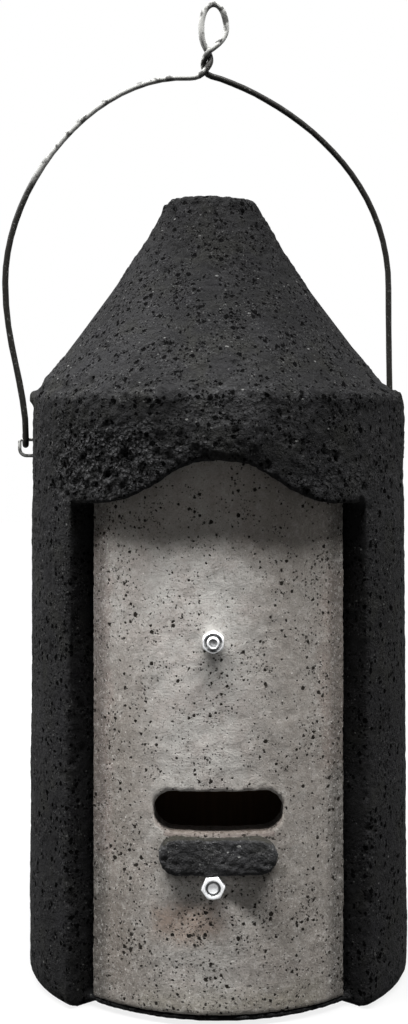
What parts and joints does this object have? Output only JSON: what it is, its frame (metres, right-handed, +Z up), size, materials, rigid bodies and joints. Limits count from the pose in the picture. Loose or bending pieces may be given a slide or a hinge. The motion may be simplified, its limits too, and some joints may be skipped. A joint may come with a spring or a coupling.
{
  "type": "bat box",
  "caption": "Round black woodcrete bat box with a cone roof, a grey slotted front panel under an arched visor, a landing ledge and a swinging wire hanger.",
  "frame": {"origin": "centre of the round body at the level of its foot, on the floor it stands on", "axes": "+Z up along the body's axis, front panel and entry slot face -Y, +X to the right seen from the front"},
  "size_m": [0.1745, 0.1603, 0.4195],
  "materials": {
    "black_woodcrete": "matte",
    "roof_woodcrete": "matte",
    "grey_woodcrete": "matte",
    "rough_wood": "matte",
    "bright_zinc": "satin",
    "hanger_wire": "satin"
  },
  "bodies": {
    "box": {"roof": "roof_woodcrete", "visor": "black_woodcrete", "left_jamb": "black_woodcrete", "right_jamb": "black_woodcrete", "left_wall": "black_woodcrete", "right_wall": "black_woodcrete", "left_back_wall": "black_woodcrete", "right_back_wall": "black_woodcrete", "floor": "black_woodcrete", "sill": "black_woodcrete", "front_panel": "grey_woodcrete", "landing_ledge": "black_woodcrete", "inner_board": "rough_wood", "upper_sleeve": "bright_zinc", "lower_sleeve": "bright_zinc", "upper_bolt": "bright_zinc", "lower_bolt": "bright_zinc", "upper_nut": "bright_zinc", "lower_nut": "bright_zinc", "upper_washer": "bright_zinc", "lower_washer": "bright_zinc", "left_staple": "bright_zinc", "right_staple": "bright_zinc"},
    "hanger": {"hanger_left_arm": "hanger_wire", "hanger_right_arm": "hanger_wire", "hanger_eye": "hanger_wire"}
  },
  "joints": [
    {"name": "hanger_swing", "type": "hinge", "parent": "box", "child": "hanger", "pos_m": [-0.0033, 0.01871, 0.225], "axis": [0.9848, 0.1736, 0], "range_deg": [-120, 120]}
  ]
}
